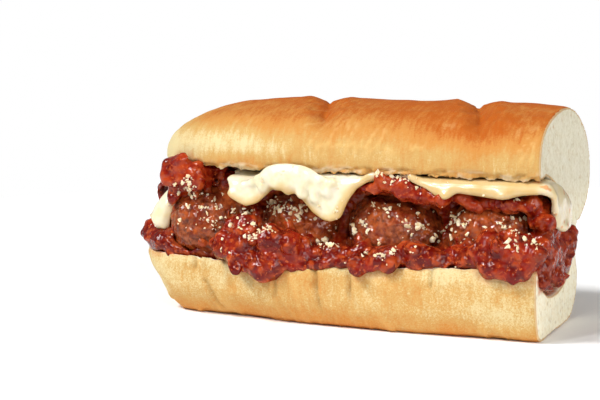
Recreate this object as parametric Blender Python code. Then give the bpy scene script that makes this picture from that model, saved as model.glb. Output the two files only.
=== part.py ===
"""Meatball submarine sandwich, half of a foot-long roll, in metres, +Z up.

X runs along the roll, with its round end at -X and its cut end at +X. The open front faces -Y.
The origin is on the surface that the roll lies on. All lengths below are millimetres until MM turns them
into Blender's metres.
"""

import math
import random

import bmesh
import bpy
import numpy as np
from mathutils import Matrix, Vector, noise
from mathutils.bvhtree import BVHTree

MM = 0.001

# Roll
CUT_X = 76.3
KNIFE_SIZE = 120.0
CROWN_TIP_X = -69.5
CROWN_WIDE_X = -32.0
CROWN_HIGH_X = -22.0
CROWN_SEAM_Z = 53.0
CROWN_MIDDLE_Y = -2.0
CROWN_HEIGHT = 75.0
CROWN_DROOP = 1.8
HEEL_TIP_X = -75.0
HEEL_WIDE_X = -42.0
HEEL_HIGH_X = -55.0
HEEL_SEAM_Z = 21.0
HEEL_MIDDLE_Y = -11.0
HEEL_TUCK = 4.5
HEEL_END = (-52.0, 18.0)
HEEL_END_SHIFTS = ((10.0, 5.0, 1.8), (0.0, 3.0, -1.5))
HINGE_START_X = -64.0
NOTCHES = ((-9.4, 2.8), (45.1, 3.3))
NOTCH_HALF_WIDTH = 3.2
NOTCH_SLANT = -0.3
NOTCH_FOOT_Z = 60.0
NOTCH_FULL_Z = 71.0
NOTCH_REACH = 15.0
NOTCH_STEP = 3.75
CLEARANCE = 0.42
SAUCE_CLEARANCE = 0.85

# Closed sections of the two halves, as (y, z), each starting at its front lip
CROWN_SECTION = (
    (-38.2, 52.2), (-39.3, 58.0), (-37.6, 64.4), (-31.0, 70.3), (-17.0, 74.0), (1.0, CROWN_HEIGHT),
    (17.0, 70.9), (28.5, 63.8), (35.2, 55.0), (36.8, 47.6), (34.2, 40.6), (26.5, 35.6), (16.0, 32.6),
    (5.0, 37.4), (-8.0, 45.4), (-21.0, 50.6), (-32.0, 53.6),
)
HEEL_SECTION = (
    (-41.6, 25.0), (-43.0, 20.0), (-42.4, 12.0), (-39.6, 4.6), (-34.5, 0.0), (-14.0, 0.0), (5.0, 0.0),
    (12.0, 2.4), (17.0, 7.0), (18.4, 13.0), (16.6, 19.0), (10.5, 20.5), (2.0, 15.4), (-12.0, 12.6),
    (-27.0, 14.0), (-37.4, 20.0),
)
HINGE_SECTION = (
    (8.0, 13.6), (12.5, 13.2), (15.4, 18.0), (15.8, 26.0), (15.0, 33.0), (11.0, 37.4), (7.2, 36.4),
    (6.4, 25.0),
)
LIP_HEIGHT = ((-77.0, 22.5), (-49.0, 21.7), (-7.0, 20.0), (9.0, 22.0), (52.0, 24.2), (CUT_X, 25.0))

# Filling
BALL_Y = -21.0
BALL_Z = 32.0
BALL_HEIGHT = 27.8
BALL_SIDES = (18, 9)
BALLS = ((-44.6, 16.4, 2.2), (-11.2, 15.4, 2.0), (23.3, 17.3, 2.1), (58.6, 17.1, 2.35))
CHEESE_THICK = 2.1
CHEESE_UNDER_CROWN = 1.6
DRAPE_RADIUS = 3.0
DRAPE_Y = -36.0

# The corner that droops out of the round end: its middle line, widths, and the way it is turned
TONGUE_LINE = ((-60.6, -21.0, 44.6), (-62.8, -23.4, 41.0), (-65.2, -25.2, 36.6), (-66.3, -25.8, 33.0),
               (-65.6, -26.0, 28.9))
TONGUE_WIDTHS = (3.6, 5.6, 7.8, 8.4, 4.6)
TONGUE_SIDE = (0.97, -0.24, 0.0)
TONGUE_FRONT = (-0.24, -0.97, 0.0)
TONGUE_BOW = 1.6

# The puffed ridge of the left slice in front of the crown's edge: centre and half sizes
RIDGE_CENTRE = (-8.6, -41.0, 51.0)
RIDGE_SIZE = (11.5, 1.7, 4.6)
RIDGE_SIDES = (14, 8)

# Lowest line of each slice's hanging edge, as (x, z)
LEFT_DRIP = (
    (-33.0, 50.5), (-31.5, 46.5), (-28.5, 42.4), (-24.1, 39.9), (-20.4, 42.2), (-16.0, 47.0),
    (-10.5, 48.4), (-5.5, 45.6), (-2.1, 41.3), (1.5, 37.4), (5.0, 36.2), (8.6, 37.8), (11.0, 43.0),
    (14.5, 49.0), (22.0, 51.4),
)
RIGHT_DRIP = (
    (33.0, 51.2), (38.0, 49.6), (42.0, 46.8), (45.2, 45.2), (48.0, 48.0), (56.5, 47.5), (64.0, 46.4),
    (70.5, 48.0), (77.0, 48.6),
)
END_DRIP = ((-34.0, 45.0), (-31.0, 35.4), (-21.5, 33.2), (-9.0, 33.0), (-4.0, 37.0))

# Heaps of chunky sauce: centre, half size, number of lumps, lump radius
HEAPS = (
    ((-20.0, -38.6, 26.4), (15.0, 3.0, 3.6), 16, 4.6),
    ((-29.0, -36.8, 32.4), (5.4, 2.2, 2.4), 6, 3.4),
    ((-19.5, -41.2, 20.0), (8.5, 1.4, 3.0), 9, 4.0),
    ((22.5, -41.4, 23.4), (6.0, 1.6, 1.8), 6, 3.8),
    ((37.5, -40.8, 25.6), (5.0, 1.6, 1.4), 4, 3.4),
    ((67.0, -41.4, 27.8), (8.4, 2.0, 4.6), 15, 4.2),
    ((67.5, -42.6, 23.8), (4.6, 1.0, 1.2), 4, 3.8),
    ((-49.0, -31.6, 50.6), (9.0, 3.4, 3.0), 13, 3.8),
    ((-55.2, -26.5, 44.0), (3.4, 4.0, 5.0), 8, 4.0),
    ((-62.0, -15.6, 46.8), (1.8, 4.4, 4.2), 7, 3.3),
    ((-70.0, -18.0, 26.2), (4.2, 5.0, 1.8), 8, 3.8),
    ((26.5, -35.8, 49.4), (10.5, 1.8, 2.6), 13, 3.5),
    ((25.0, -28.5, 49.2), (13.0, 3.0, 1.2), 9, 3.6),
    ((39.0, -35.4, 46.2), (5.0, 1.8, 1.6), 6, 3.2),
    ((76.0, -17.0, 25.0), (1.0, 16.5, 6.2), 22, 3.9),
    ((75.4, -31.0, 37.0), (1.0, 3.0, 6.0), 8, 3.3),
    ((75.0, -12.0, 38.0), (1.0, 10.0, 5.0), 10, 3.5),
    ((75.6, 1.0, 26.6), (1.0, 5.6, 4.4), 8, 3.5),
    ((76.2, -33.6, 22.6), (1.0, 3.0, 2.4), 4, 3.4),
)
BEAD_STEP = 5.2
BEAD_RADIUS = 3.9
BEAD_INSET = 4.6
BEAD_RISE = 2.6
LUMP_SUBDIVISIONS = 2
LUMP_UNEVENNESS = 0.16
LUMP_GRAIN = 260.0
SAUCE_VOXEL = 1.2
LUMPED_FACES = 2800
SAUCE_FACES = 4500

# The sauce behind and between the meatballs, as (y, z), and where it ends
FILL_SECTION = (
    (-33.0, 19.0), (-33.0, 24.5), (-26.5, 30.0), (-24.5, 38.0), (-27.5, 45.0), (-20.0, 51.0), (-4.0, 44.0),
    (8.0, 38.0), (9.0, 26.0), (9.0, 17.0), (-6.0, 11.0), (-20.0, 11.0),
)
FILL_MIDDLE = (-14.0, 32.0)
FILL_START_X = -70.0
FILL_FULL_X = -52.0
FILL_END_X = 74.0

# Drifts of grated hard cheese on the front: centre x and z, half sizes, number of grains
DRIFTS = (
    (-47.0, 41.5, 8.0, 8.0, 18), (-37.0, 33.0, 5.0, 6.0, 5), (-22.0, 31.0, 7.0, 4.5, 9),
    (-13.0, 39.5, 6.0, 5.0, 11), (28.0, 50.5, 7.0, 4.0, 12), (24.0, 38.5, 8.0, 6.0, 8),
    (48.0, 36.0, 7.0, 7.0, 9), (64.0, 40.0, 9.0, 6.0, 11), (69.0, 31.0, 7.0, 5.0, 7),
    (22.0, 24.0, 7.0, 2.0, 4), (5.0, 27.0, 6.0, 3.0, 4),
)
GRAIN_RADIUS = (0.55, 1.25)
SEED = 41


def smooth(t):
    """Smooth step of t, from 0 below 0 to 1 above 1."""
    t = min(1.0, max(0.0, t))
    return t * t * (3 - 2 * t)


def along(table, x):
    """The value at x of a line through the table's points."""
    return float(np.interp(x, [p[0] for p in table], [p[1] for p in table]))


def closing(x, start, tip, power):
    """1 before start, falling to 0 at the tip of a rounded loaf end."""
    s = min(1.0, max(0.0, (start - x) / (start - tip)))
    return (1 - s**power) ** (1 / power)


def closed_spline(points, per_segment):
    """Points of a closed Catmull-Rom curve through these points."""
    out = []
    count = len(points)
    for i in range(count):
        a, b, c, d = (np.array(points[(i + k) % count], float) for k in (-1, 0, 1, 2))
        for j in range(per_segment):
            t = j / per_segment
            bend = (2 * a - 5 * b + 4 * c - d) * t**2 + (3 * b - a - 3 * c + d) * t**3
            out.append(0.5 * (2 * b + (c - a) * t + bend))
    return out


def new_object(name, bm, material=None):
    """An object of this bmesh, which is in millimetres."""
    bmesh.ops.scale(bm, vec=(MM, MM, MM), verts=bm.verts)
    mesh = bpy.data.meshes.new(name)
    bm.to_mesh(mesh)
    bm.free()
    obj = bpy.data.objects.new(name, mesh)
    bpy.context.scene.collection.objects.link(obj)
    if material:
        obj.data.materials.append(material)
    return obj


def loft(name, rings, material=None):
    """A closed solid through rings of equal numbers of points, with both ends capped."""
    bm = bmesh.new()
    rows = [[bm.verts.new(p) for p in ring] for ring in rings]
    count = len(rows[0])
    for low, high in zip(rows, rows[1:]):
        for i in range(count):
            j = (i + 1) % count
            bm.faces.new((low[i], low[j], high[j], high[i]))
    bm.faces.new(rows[0][::-1])
    bm.faces.new(rows[-1])
    bmesh.ops.recalc_face_normals(bm, faces=bm.faces)
    return new_object(name, bm, material)


def bake_modifiers(obj):
    """Turns an object's modifiers into its own mesh."""
    bpy.context.view_layer.update()
    graph = bpy.context.evaluated_depsgraph_get()
    mesh = bpy.data.meshes.new_from_object(obj.evaluated_get(graph))
    obj.modifiers.clear()
    obj.data = mesh
    return obj


def boolean(obj, operation, others, solver="EXACT"):
    """Joins or cuts obj with the other objects, which are then removed."""
    group = bpy.data.collections.new("operands")
    bpy.context.scene.collection.children.link(group)
    for other in others:
        group.objects.link(other)
    modifier = obj.modifiers.new(operation, "BOOLEAN")
    modifier.operation = operation
    modifier.solver = solver
    modifier.operand_type = "COLLECTION"
    modifier.collection = group
    bake_modifiers(obj)
    for other in others:
        bpy.data.objects.remove(other)
    bpy.data.collections.remove(group)
    return obj


def grown(obj, distance):
    """A copy whose surface lies a set distance outside the object's, to cut its neighbours with."""
    copy = obj.copy()
    copy.data = obj.data.copy()
    bpy.context.scene.collection.objects.link(copy)
    bm = bmesh.new()
    bm.from_mesh(copy.data)
    bm.normal_update()
    moves = [(v, v.normal * (distance * MM * min(v.calc_shell_factor(), 1.6))) for v in bm.verts]
    for v, move in moves:
        v.co += move
    bm.to_mesh(copy.data)
    bm.free()
    return copy


def thinned(obj, faces):
    """The same surface in no more than this many triangles."""
    obj.data.calc_loop_triangles()
    modifier = obj.modifiers.new("thin", "DECIMATE")
    modifier.ratio = min(1.0, faces / len(obj.data.loop_triangles))
    return bake_modifiers(obj)


def largest_piece(obj):
    """Drops every loose scrap and sealed inner shell, and keeps the largest connected surface."""
    bm = bmesh.new()
    bm.from_mesh(obj.data)
    bmesh.ops.triangulate(bm, faces=bm.faces)
    left = set(bm.verts)
    islands = []
    while left:
        stack = [left.pop()]
        island = set(stack)
        while stack:
            for edge in stack.pop().link_edges:
                for v in edge.verts:
                    if v in left:
                        left.remove(v)
                        island.add(v)
                        stack.append(v)
        islands.append(island)
    biggest = max(islands, key=len)
    bmesh.ops.delete(bm, geom=[v for v in bm.verts if v not in biggest], context="VERTS")
    bm.to_mesh(obj.data)
    bm.free()
    return obj


def material(name, colour, roughness):
    """A plain surface of one colour."""
    made = bpy.data.materials.new(name)
    made.use_nodes = True
    shader = made.node_tree.nodes["Principled BSDF"]
    shader.inputs["Base Color"].default_value = (*colour, 1.0)
    shader.inputs["Roughness"].default_value = roughness
    shader.inputs["Metallic"].default_value = 0.0
    made.diffuse_color = (*colour, 1.0)
    return made


def shade_smooth(obj, degrees=50.0):
    """Smooth shading, with edges sharper than the angle left crisp."""
    obj.data.shade_smooth()
    obj.data.set_sharp_from_angle(angle=math.radians(degrees))


# Roll

def notch_drop(x, y, z):
    """How far the slanting grooves sink the top crust, with a slight swelling on either side."""
    share = smooth((z - NOTCH_FOOT_Z) / (NOTCH_FULL_Z - NOTCH_FOOT_Z))
    total = 0.0
    for middle, depth in NOTCHES:
        side = (x - middle - NOTCH_SLANT * y) / NOTCH_HALF_WIDTH
        groove = math.exp(-side * side)
        swelling = 0.25 * math.exp(-((abs(side) - 2.0) ** 2))
        total += depth * (groove - swelling)
    return total * share


def crown_ring(x, per_segment=2):
    """The upper half's outline at x."""
    wide = closing(x, CROWN_WIDE_X, CROWN_TIP_X, 2.05) * (1 - 0.06 * smooth((-8 - x) / 36))
    high = closing(x, CROWN_HIGH_X, CROWN_TIP_X, 2.15)
    droop = CROWN_DROOP * smooth((x - CUT_X + 14) / 14)
    ring = []
    for y, z in closed_spline(CROWN_SECTION, per_segment):
        top = smooth((z - CROWN_SEAM_Z + 1) / 22)
        z = CROWN_SEAM_Z + (z - CROWN_SEAM_Z) * high - droop * top
        ring.append((x, CROWN_MIDDLE_Y + (y - CROWN_MIDDLE_Y) * wide, z - notch_drop(x, y, z)))
    return ring


def heel_width(x):
    """The lower half's width at x, as a share of its full width."""
    taper = 1 - 0.06 * smooth((22 - x) / 30) - 0.13 * smooth((-6 - x) / 40)
    return closing(x, HEEL_WIDE_X, HEEL_TIP_X, 1.9) * taper


def heel_ring(x, per_segment=2):
    """The lower half's outline at x. Its base is flat and tucks under in front towards the round end."""
    wide = heel_width(x)
    high = closing(x, HEEL_HIGH_X, HEEL_TIP_X, 1.3)
    lip_scale = along(LIP_HEIGHT, x) / HEEL_SECTION[0][1]
    end_share = smooth((HEEL_END[0] - x) / HEEL_END[1])
    ring = []
    for y, z in closed_spline(HEEL_SECTION, per_segment):
        z = max(0.0, z)
        z *= 1 + (lip_scale - 1) * smooth((-28 - y) / 8)
        tuck = HEEL_TUCK * smooth((-4 - x) / 22) * smooth((10 - z) / 10) * smooth((-20 - y) / 14)
        y = HEEL_MIDDLE_Y + (y + tuck - HEEL_MIDDLE_Y) * wide
        z = HEEL_SEAM_Z + (z - HEEL_SEAM_Z) * high
        shift = sum(size * math.exp(-(((z - level) / spread) ** 2)) for level, spread, size in HEEL_END_SHIFTS)
        ring.append((x + shift * end_share, y, z))
    return ring


def hinge_ring(x):
    """The uncut strip at the back that joins the halves."""
    wide = heel_width(x)
    return [(x, HEEL_MIDDLE_Y + (y - HEEL_MIDDLE_Y) * wide, z) for y, z in closed_spline(HINGE_SECTION, 1)]


def stations(tip, full, step, end_count):
    """Places along the roll, closer together where its end is round."""
    close = [full - (full - tip) * math.sin(0.5 * math.pi * i / end_count) for i in range(end_count, 0, -1)]
    close[0] = tip + 0.35
    last = CUT_X + 6.0
    count = round((last - full) / step)
    return close + [full + (last - full) * i / count for i in range(count + 1)]


def box(name, low, high):
    """A box between two corners."""
    bm = bmesh.new()
    bmesh.ops.create_cube(bm, size=1.0)
    for v in bm.verts:
        v.co = [low[k] if v.co[k] < 0 else high[k] for k in range(3)]
    return new_object(name, bm)


def build_roll(crust):
    """The C-shaped roll, one solid, cut square at +X."""
    crown_x = stations(CROWN_TIP_X, -40.0, 16.0, 7)
    steps = round(NOTCH_REACH / NOTCH_STEP)
    for middle, _ in NOTCHES:
        crown_x = [x for x in crown_x if abs(x - middle) > NOTCH_REACH + NOTCH_STEP]
        crown_x += [middle + k * NOTCH_STEP for k in range(-steps, steps + 1)]
    crown = loft("bun", [crown_ring(x) for x in sorted(crown_x)], crust)
    heel = loft("heel", [heel_ring(x) for x in stations(HEEL_TIP_X, -50.0, 18.0, 7)])
    hinge = loft("hinge", [hinge_ring(x) for x in stations(HINGE_START_X, -50.0, 14.0, 3)])
    boolean(crown, "UNION", [heel, hinge])
    knife = box("knife", (CUT_X, -KNIFE_SIZE, -KNIFE_SIZE), (CUT_X + KNIFE_SIZE, KNIFE_SIZE, KNIFE_SIZE))
    boolean(crown, "DIFFERENCE", [knife])
    shade_smooth(crown)
    return crown


# Meatballs

def build_ball(index, brown):
    """One hand-rolled meatball, a lumpy superellipsoid."""
    x, radius, power = BALLS[index]
    bm = bmesh.new()
    bmesh.ops.create_uvsphere(bm, u_segments=BALL_SIDES[0], v_segments=BALL_SIDES[1], radius=1.0)
    half = Vector((radius, radius * 0.97, BALL_HEIGHT / 2))
    for v in bm.verts:
        n = v.co.normalized()
        size = sum(abs(c) ** power for c in n) ** (-1 / power)
        lump = 1 + 0.035 * noise.noise(n * 2.2 + Vector((7.0 * index, 0, 3.0)))
        lump -= 0.02 * abs(n.x)
        v.co = [n[k] * size * half[k] * lump for k in range(3)]
    bmesh.ops.translate(bm, vec=(x, BALL_Y, BALL_Z), verts=bm.verts)
    ball = new_object(f"meatball_{index + 1}", bm, brown)
    shade_smooth(ball)
    return ball


# Melted cheese

def crown_underside(y):
    """Height of the crown's cut plane at y, away from its round end."""
    under = sorted(CROWN_SECTION[12:] + CROWN_SECTION[:1])
    return float(np.interp(y, [p[0] for p in under], [p[1] for p in under]))


def draped(distance):
    """How far a sheet goes out and down after a distance past the edge that it hangs over."""
    turn = min(distance / DRAPE_RADIUS, math.pi / 2)
    straight = max(0.0, distance - DRAPE_RADIUS * math.pi / 2)
    return DRAPE_RADIUS * math.sin(turn), DRAPE_RADIUS * (1 - math.cos(turn)) + straight


def cheese_point(x, y_in, hang, end_x=None, end_hang=0.0):
    """A point of a slice that lies under the crown and hangs over the front, or over the cut end."""
    out, down = draped(hang) if hang > 0 else (0.0, 0.0)
    z = crown_underside(min(max(y_in, DRAPE_Y), 0.0)) - CHEESE_UNDER_CROWN - down
    y = y_in - out
    if end_hang > 0:
        end_out, end_down = draped(end_hang)
        return Vector((end_x + end_out, y, z - end_down))
    return Vector((x, y, z))


def sheet_solid(name, grid, thick, colour):
    """A closed thin solid on both sides of a grid of points, both faces split alike."""
    bm = bmesh.new()
    rows = len(grid)
    columns = len(grid[0])
    normals = [[None] * columns for _ in range(rows)]
    for i in range(rows):
        for j in range(columns):
            du = grid[min(i + 1, rows - 1)][j] - grid[max(i - 1, 0)][j]
            dv = grid[i][min(j + 1, columns - 1)] - grid[i][max(j - 1, 0)]
            normals[i][j] = du.cross(dv).normalized()
    sides = []
    for sign in (1, -1):
        side = []
        for i in range(rows):
            side.append([])
            for j in range(columns):
                rim = i in (0, rows - 1) or j in (0, columns - 1)
                half = thick * (0.28 if rim else 0.5)
                side[i].append(bm.verts.new(grid[i][j] + normals[i][j] * half * sign))
        sides.append(side)
    top, low = sides
    for i in range(rows - 1):
        for j in range(columns - 1):
            a, b, c, d = (i, j), (i + 1, j), (i + 1, j + 1), (i, j + 1)
            bm.faces.new([top[r][k] for r, k in (a, b, c)])
            bm.faces.new([top[r][k] for r, k in (a, c, d)])
            bm.faces.new([low[r][k] for r, k in (c, b, a)])
            bm.faces.new([low[r][k] for r, k in (d, c, a)])
    border = [(i, 0) for i in range(rows)] + [(rows - 1, j) for j in range(1, columns)]
    border += [(i, columns - 1) for i in range(rows - 2, -1, -1)]
    border += [(0, j) for j in range(columns - 2, 0, -1)]
    for (i, j), (k, m) in zip(border, border[1:] + border[:1]):
        bm.faces.new((top[i][j], low[i][j], low[k][m], top[k][m]))
    bmesh.ops.recalc_face_normals(bm, faces=bm.faces)
    made = new_object(name, bm, colour)
    shade_smooth(made, 60)
    return made


def hang_length(drip, x):
    """The length of sheet past the crown's edge whose hanging edge reaches the drip line at x."""
    fall = crown_underside(DRAPE_Y) - CHEESE_UNDER_CROWN - along(drip, x)
    quarter = DRAPE_RADIUS * math.pi / 2
    if fall < DRAPE_RADIUS:
        return DRAPE_RADIUS * math.acos(1 - max(fall, 0.3) / DRAPE_RADIUS)
    return quarter + fall - DRAPE_RADIUS


def build_left_cheese(pale):
    """The slice over the two left gaps, with two drooping corners and a puffed ridge."""
    first, last = LEFT_DRIP[0][0], LEFT_DRIP[-1][0]
    grid = []
    for i in range(21):
        x = first + (last - first) * i / 20
        length = hang_length(LEFT_DRIP, x)
        row = [cheese_point(x, y, 0.0) for y in (-13.0, -20.0, -28.0, DRAPE_Y)]
        row += [cheese_point(x, DRAPE_Y, length * k / 5) for k in range(1, 6)]
        grid.append(row)
    slice_left = sheet_solid("cheese_left", grid, CHEESE_THICK, pale)
    bm = bmesh.new()
    bmesh.ops.create_uvsphere(bm, u_segments=RIDGE_SIDES[0], v_segments=RIDGE_SIDES[1], radius=1.0)
    bmesh.ops.scale(bm, vec=RIDGE_SIZE, verts=bm.verts)
    bmesh.ops.translate(bm, vec=RIDGE_CENTRE, verts=bm.verts)
    return boolean(slice_left, "UNION", [new_object("ridge", bm)])


def build_right_cheese(pale):
    """The slice over the right meatball, which hangs over the front and the cut end."""
    first, last = RIGHT_DRIP[0][0], CUT_X + 0.4
    grid = []
    for i in range(15):
        x = first + (last - first) * i / 14
        length = hang_length(RIGHT_DRIP, x)
        row = [cheese_point(x, y, 0.0) for y in (-10.0, -15.5, -22.0, -29.0, DRAPE_Y)]
        row += [cheese_point(x, DRAPE_Y, length * k / 4) for k in range(1, 5)]
        grid.append(row)
    tip = hang_length(RIGHT_DRIP, last)
    for i in range(1, 7):
        row = []
        for y in (-10.0, -15.5, -22.0, -29.0, DRAPE_Y):
            fall = crown_underside(y) - CHEESE_UNDER_CROWN - along(END_DRIP, y)
            row.append(cheese_point(last, y, 0.0, last, max(fall, 1.0) * i / 6))
        edge = max(0.0, 1 - i / 3)
        for k in range(1, 5):
            row.append(cheese_point(last, DRAPE_Y, tip * edge * k / 4 + 0.25 * k, last, 5.0 * i / 6))
        grid.append(row)
    return sheet_solid("cheese_right", grid, CHEESE_THICK, pale)


def build_end_cheese(pale):
    """The corner of a slice that droops out of the round end."""
    spine = [Vector(p) for p in TONGUE_LINE]
    side = Vector(TONGUE_SIDE)
    front = Vector(TONGUE_FRONT)
    grid = []
    for i in range(9):
        t = i / 8 * (len(spine) - 1)
        k = min(int(t), len(spine) - 2)
        centre = spine[k].lerp(spine[k + 1], t - k)
        width = float(np.interp(t, range(len(TONGUE_WIDTHS)), TONGUE_WIDTHS))
        row = []
        for s in (-0.5, -0.25, 0.0, 0.25, 0.5):
            row.append(centre + side * width * s + front * TONGUE_BOW * (1 - 4 * s * s))
        grid.append(row)
    return sheet_solid("cheese_end", grid, CHEESE_THICK * 1.2, pale)


# Sauce

def front_edge(x):
    """The heel's foremost y at x."""
    return min(p[1] for p in heel_ring(x, 1))


def sauce_lumps():
    """Every lump of the sauce's uneven outline, as a centre and a radius."""
    draw = random.Random(SEED)
    lumps = []
    for centre, half, count, radius in HEAPS:
        for i in range(count):
            spot = []
            for k in range(3):
                share = (i + 0.5) / count * 2 - 1 if half[k] == max(half) else draw.uniform(-1, 1)
                spot.append(centre[k] + half[k] * share)
            lumps.append((Vector(spot), radius * draw.uniform(0.75, 1.15)))
    x = -69.0
    while x < CUT_X - 2:
        y = front_edge(x) + BEAD_INSET + draw.uniform(-1, 1)
        spot = Vector((x, y, along(LIP_HEIGHT, x) + BEAD_RISE))
        lumps.append((spot, BEAD_RADIUS * draw.uniform(0.8, 1.1)))
        x += BEAD_STEP * draw.uniform(0.8, 1.2)
    return lumps


def fill_ring(x):
    """The outline at x of the sauce that fills the roll behind and between the meatballs."""
    shrink = closing(x, FILL_FULL_X, FILL_START_X - 2.0, 2.0)
    wide = 0.4 + 0.6 * shrink
    high = 0.5 + 0.5 * shrink
    middle_y, middle_z = FILL_MIDDLE
    return [(x, middle_y + (y - middle_y) * wide, middle_z + (z - middle_z) * high) for y, z in FILL_SECTION]


def build_sauce(red, solids):
    """Marinara with tomato pieces, one solid cut round the roll, the meatballs and the cheese."""
    ends = [FILL_START_X, FILL_START_X + 2.0, FILL_START_X + 6.0, FILL_START_X + 12.0]
    body = [FILL_FULL_X + (FILL_END_X - FILL_FULL_X) * i / 10 for i in range(11)]
    core = loft("sauce", [fill_ring(x) for x in ends + body], red)
    bm = bmesh.new()
    bm.from_mesh(core.data)
    for centre, radius in sauce_lumps():
        made = bmesh.ops.create_icosphere(bm, subdivisions=LUMP_SUBDIVISIONS, radius=radius * MM)["verts"]
        for v in made:
            v.co *= 1 + LUMP_UNEVENNESS * noise.noise(v.co * LUMP_GRAIN + centre)
        bmesh.ops.translate(bm, vec=centre * MM, verts=made)
    bm.to_mesh(core.data)
    bm.free()
    remesh = core.modifiers.new("join", "REMESH")
    remesh.mode = "VOXEL"
    remesh.voxel_size = SAUCE_VOXEL * MM
    bake_modifiers(core)
    thinned(core, LUMPED_FACES)
    for solid in solids:
        boolean(core, "DIFFERENCE", [grown(solid, SAUCE_CLEARANCE)], solver="MANIFOLD")
    largest_piece(core)
    thinned(core, SAUCE_FACES)
    core.data.materials.clear()
    core.data.materials.append(red)
    return core


# Grated hard cheese

def grain(radius, spot, draw):
    """One crumb of grated cheese, an uneven icosahedron."""
    bm = bmesh.new()
    bmesh.ops.create_icosphere(bm, subdivisions=1, radius=radius)
    axis = Vector([draw.gauss(0, 1) for _ in range(3)])
    turn = Matrix.Rotation(draw.uniform(0, math.tau), 3, axis)
    stretch = Vector((draw.uniform(1.0, 1.5), draw.uniform(0.8, 1.1), draw.uniform(0.6, 0.9)))
    for v in bm.verts:
        v.co = turn @ Vector([v.co[k] * stretch[k] * draw.uniform(0.88, 1.12) for k in range(3)])
    bmesh.ops.translate(bm, vec=spot, verts=bm.verts)
    return new_object("grain", bm)


def scatter_grains(hosts, others):
    """Fuses the larger crumbs to whatever the front shows there, clear of every other solid."""
    draw = random.Random(SEED + 1)
    solids = hosts + others
    trees = {}
    for obj in solids:
        bm = bmesh.new()
        bm.from_mesh(obj.data)
        trees[obj.name] = BVHTree.FromBMesh(bm)
        bm.free()
    fused = {obj.name: [] for obj in hosts}
    for cx, cz, wide, tall, count in DRIFTS:
        for _ in range(count):
            start = Vector((cx + wide * draw.gauss(0, 0.5), -90, cz + tall * draw.gauss(0, 0.5))) * MM
            radius = draw.uniform(*GRAIN_RADIUS)
            hits = []
            for obj in solids:
                spot, normal, _, distance = trees[obj.name].ray_cast(start, Vector((0, 1, 0)))
                if spot:
                    hits.append((distance, obj.name, spot, normal))
            if not hits:
                continue
            _, name, spot, normal = min(hits, key=lambda h: h[0])
            spot = spot + normal * radius * 0.35 * MM
            near = min(trees[n].find_nearest(spot)[3] for n in trees if n != name)
            if name in fused and near > (radius * 1.75 + CLEARANCE) * MM:
                fused[name].append(grain(radius, spot / MM, draw))
    for obj in hosts:
        if fused[obj.name]:
            boolean(obj, "UNION", fused[obj.name], solver="MANIFOLD")
            largest_piece(obj)
            shade_smooth(obj, 40)


def build():
    """Clears the scene and makes every piece of the sandwich."""
    for obj in list(bpy.data.objects):
        bpy.data.objects.remove(obj)
    crust = material("crust", (0.78, 0.50, 0.22), 0.55)
    brown = material("meat", (0.27, 0.10, 0.045), 0.35)
    pale = material("cheese", (0.93, 0.85, 0.58), 0.3)
    red = material("sauce", (0.50, 0.045, 0.02), 0.2)
    roll = build_roll(crust)
    balls = [build_ball(i, brown) for i in range(len(BALLS))]
    slices = [build_left_cheese(pale), build_right_cheese(pale), build_end_cheese(pale)]
    sauce = build_sauce(red, [roll] + balls + slices)
    scatter_grains(balls + [sauce], [roll] + slices)


build()
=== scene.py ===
import math

import bmesh
import bpy
import numpy as np
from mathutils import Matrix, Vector
from mathutils.bvhtree import BVHTree


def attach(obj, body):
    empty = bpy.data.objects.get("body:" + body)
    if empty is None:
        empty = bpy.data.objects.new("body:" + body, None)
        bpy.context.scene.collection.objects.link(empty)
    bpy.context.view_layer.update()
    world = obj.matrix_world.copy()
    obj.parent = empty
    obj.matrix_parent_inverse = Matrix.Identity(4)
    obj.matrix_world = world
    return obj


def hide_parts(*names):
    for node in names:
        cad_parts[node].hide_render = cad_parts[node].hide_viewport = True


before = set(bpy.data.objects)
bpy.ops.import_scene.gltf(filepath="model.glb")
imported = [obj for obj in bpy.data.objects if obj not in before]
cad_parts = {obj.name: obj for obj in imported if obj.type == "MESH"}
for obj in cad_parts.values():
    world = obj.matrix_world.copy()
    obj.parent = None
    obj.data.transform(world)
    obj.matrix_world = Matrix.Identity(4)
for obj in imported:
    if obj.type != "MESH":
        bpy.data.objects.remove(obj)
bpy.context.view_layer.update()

# Sizes and places are in millimetres, and the front is towards -Y
MM = 0.001

# The roll: its flat cut end, the crown's lower edge, and the middle of the filling as y and z
CUT_X = 76.3
SEAM_Z = 53.0
FILL_Y = -14.0
FILL_Z = 36.0

# Two scored grooves across the crown
GROOVES = (-9.4, 45.1)
GROOVE_SLANT = -0.3
GROOVE_DEPTH = 0.8
GROOVE_HALF_WIDTH = 0.95
# Half width of the painted shade along each groove
GROOVE_SHADE_HALF_WIDTH = 2.2

# Edge of the small cubes from which each dense surface is made
ROLL_VOXEL = 0.78
SAUCE_VOXEL = 0.54
MEAT_VOXEL = 0.42
SLICE_VOXEL = 0.36

MEATBALLS = ("meatball_1", "meatball_2", "meatball_3", "meatball_4")

# Creases pressed into the lower half's front: points of x and z, share of the full depth
HEEL_CREASES = (
    (((-45.5, 21.5), (-45.4, 18.5), (-45.0, 15.5)), 0.9),
    (((-41.5, 12.8), (-39.5, 8.5), (-36.4, 2.5)), 0.9),
    (((0.3, 22.0), (0.9, 15.0), (3.3, 4.0)), 1.0),
    (((13.6, 20.0), (14.0, 15.0), (13.7, 9.5)), 0.75),
    (((42.0, 23.0), (42.4, 19.0), (41.8, 15.5)), 0.7),
    (((-14.3, 17.0), (-14.0, 13.0), (-14.6, 9.5)), 0.6),
)
CREASE_HALF_WIDTH = 0.75
CREASE_DEPTH = 1.9
CREASE_RIM_RISE = 0.5
CREASE_RIM_AWAY = 2.0
CREASE_RIM_HALF_WIDTH = 1.1

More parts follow.
